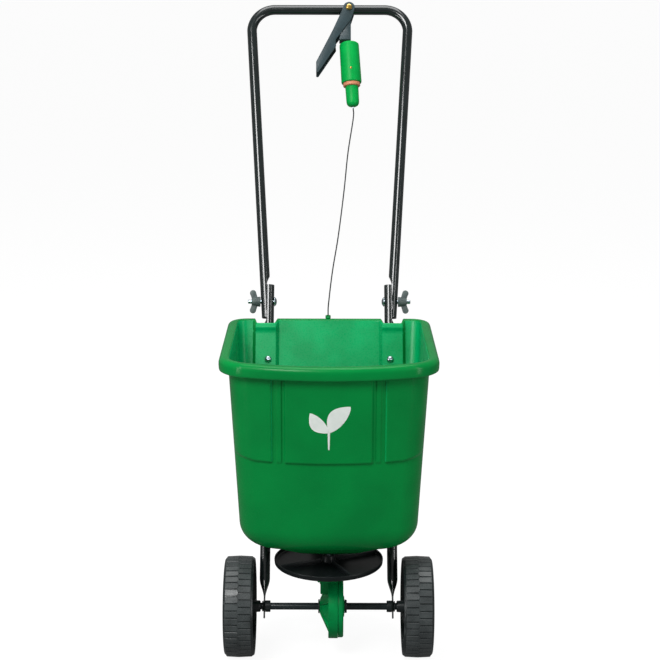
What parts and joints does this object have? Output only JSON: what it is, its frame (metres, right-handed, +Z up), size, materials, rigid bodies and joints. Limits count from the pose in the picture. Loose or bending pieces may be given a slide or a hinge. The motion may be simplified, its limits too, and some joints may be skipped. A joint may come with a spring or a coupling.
{
  "type": "garden spreader",
  "caption": "Walk-behind rotary garden spreader: open hopper on two wheels, geared spinning disc below, folding U handle with shut-off trigger.",
  "frame": {"origin": "centre of the bounding box at ground level", "axes": "+Z up; -Y forward, the way it is pushed; handle and operator at +Y; +X to the right as seen from the front"},
  "size_m": [0.3808, 0.6564, 1.1595],
  "materials": {
    "hopper_plastic": "moulded polypropylene",
    "gearbox_plastic": "moulded",
    "grip_plastic": "moulded",
    "frame_paint": "gloss powder coat",
    "axle_paint": "gloss",
    "wheel_plastic": "moulded",
    "disc_plastic": "moulded",
    "black_nylon": "moulded",
    "wing_plastic": "moulded",
    "slate_plastic": "moulded",
    "natural_nylon": "moulded",
    "ring_plastic": "moulded",
    "zinc_steel": "bright zinc",
    "brass": "yellow zinc",
    "cable_sheath": "smooth",
    "rubber": "moulded"
  },
  "bodies": {
    "frame": {"hopper": "hopper_plastic", "frame_tube_left": "frame_paint", "frame_tube_right": "frame_paint", "cross_brace": "frame_paint", "brace_bolt_left": "zinc_steel", "brace_bolt_right": "zinc_steel", "rear_stand": "frame_paint", "stand_foot": "rubber", "gearbox_housing": "gearbox_plastic", "gearbox_cover": "gearbox_plastic", "gearbox_screw_1": "zinc_steel", "gearbox_screw_2": "zinc_steel", "gearbox_stay": "frame_paint", "axle_bush_left": "black_nylon", "axle_bush_right": "black_nylon", "gearbox_bush_left": "black_nylon", "gearbox_bush_right": "black_nylon", "shaft_bush": "black_nylon", "hopper_screw_left": "zinc_steel", "hopper_screw_right": "zinc_steel", "hopper_nut_left": "zinc_steel", "hopper_nut_right": "zinc_steel", "gate_guide": "black_nylon", "cable_ferrule_lower": "zinc_steel", "cable_lower": "cable_sheath", "cable_clip": "hopper_plastic", "fold_bolt_left": "zinc_steel", "fold_bolt_right": "zinc_steel"},
    "axle": {"axle_rod": "axle_paint", "drive_wheel": "wheel_plastic", "ring_gear": "natural_nylon", "wheel_pin_left": "zinc_steel", "wheel_pin_right": "zinc_steel", "drive_washer": "zinc_steel", "free_washer": "zinc_steel"},
    "free_wheel": {"free_wheel": "wheel_plastic"},
    "impeller": {"impeller_disc": "disc_plastic", "impeller_shaft": "zinc_steel", "drive_pinion": "natural_nylon", "agitator_pin": "zinc_steel"},
    "handle": {"handle_tube": "frame_paint", "lever_bracket": "slate_plastic", "pivot_bolt": "brass", "pivot_nut": "zinc_steel", "grip_barrel": "grip_plastic", "grip_rivet": "brass", "colour_ring": "ring_plastic", "cable_ferrule_upper": "zinc_steel", "cable_upper": "cable_sheath"},
    "trigger": {"trigger_lever": "slate_plastic"},
    "rate_knob": {"rate_knob": "grip_plastic"},
    "pull_rod": {"pull_rod": "zinc_steel"},
    "wing_nut_left": {"wing_nut_left": "wing_plastic"},
    "wing_nut_right": {"wing_nut_right": "wing_plastic"},
    "gate": {"shutoff_gate": "natural_nylon", "gate_wire": "zinc_steel"}
  },
  "joints": [
    {"name": "axle_spin", "type": "hinge", "parent": "frame", "child": "axle", "pos_m": [0, -0.1711, 0.0915], "axis": [1, 0, 0], "continuous": true},
    {"name": "free_wheel_spin", "type": "hinge", "parent": "frame", "child": "free_wheel", "pos_m": [0.16, -0.1711, 0.0915], "axis": [1, 0, 0], "continuous": true},
    {"name": "impeller_spin", "type": "hinge", "parent": "frame", "child": "impeller", "pos_m": [0, -0.1711, 0.178], "axis": [0, 0, 1], "continuous": true},
    {"name": "handle_fold", "type": "hinge", "parent": "frame", "child": "handle", "pos_m": [0, 0.06486, 0.60927], "axis": [1, 0, 0], "range_deg": [0, 115]},
    {"name": "trigger_squeeze", "type": "hinge", "parent": "handle", "child": "trigger", "pos_m": [0.0375, 0.3082, 1.14323], "axis": [0, 0.91, -0.4147], "range_deg": [0, 40], "stiffness_Nm_per_rad": 0.3, "springref_deg": -8.59},
    {"name": "pull_rod_slide", "type": "slide", "parent": "handle", "child": "pull_rod", "axis": [-0.061, 0.4139, 0.9083], "range_m": [0, 0.0241]},
    {"name": "gate_slide", "type": "slide", "parent": "frame", "child": "gate", "axis": [0, 1, 0], "range_m": [0, 0.0241]},
    {"name": "rate_knob_turn", "type": "hinge", "parent": "handle", "child": "rate_knob", "pos_m": [0.0333, 0.3082, 1.14323], "axis": [-0.061, 0.4139, 0.9083], "range_deg": [0, 270]},
    {"name": "wing_nut_left_turn", "type": "hinge", "parent": "frame", "child": "wing_nut_left", "pos_m": [-0.14, 0.06486, 0.60927], "axis": [1, 0, 0], "continuous": true},
    {"name": "wing_nut_right_turn", "type": "hinge", "parent": "frame", "child": "wing_nut_right", "pos_m": [0.14, 0.06486, 0.60927], "axis": [1, 0, 0], "continuous": true}
  ],
  "couplings": [
    {"joint": "impeller_spin", "follows": "axle_spin", "ratio": -4},
    {"joint": "gate_slide", "follows": "trigger_squeeze", "m_per_rad": 0.03438},
    {"joint": "pull_rod_slide", "follows": "trigger_squeeze", "m_per_rad": 0.03438}
  ]
}
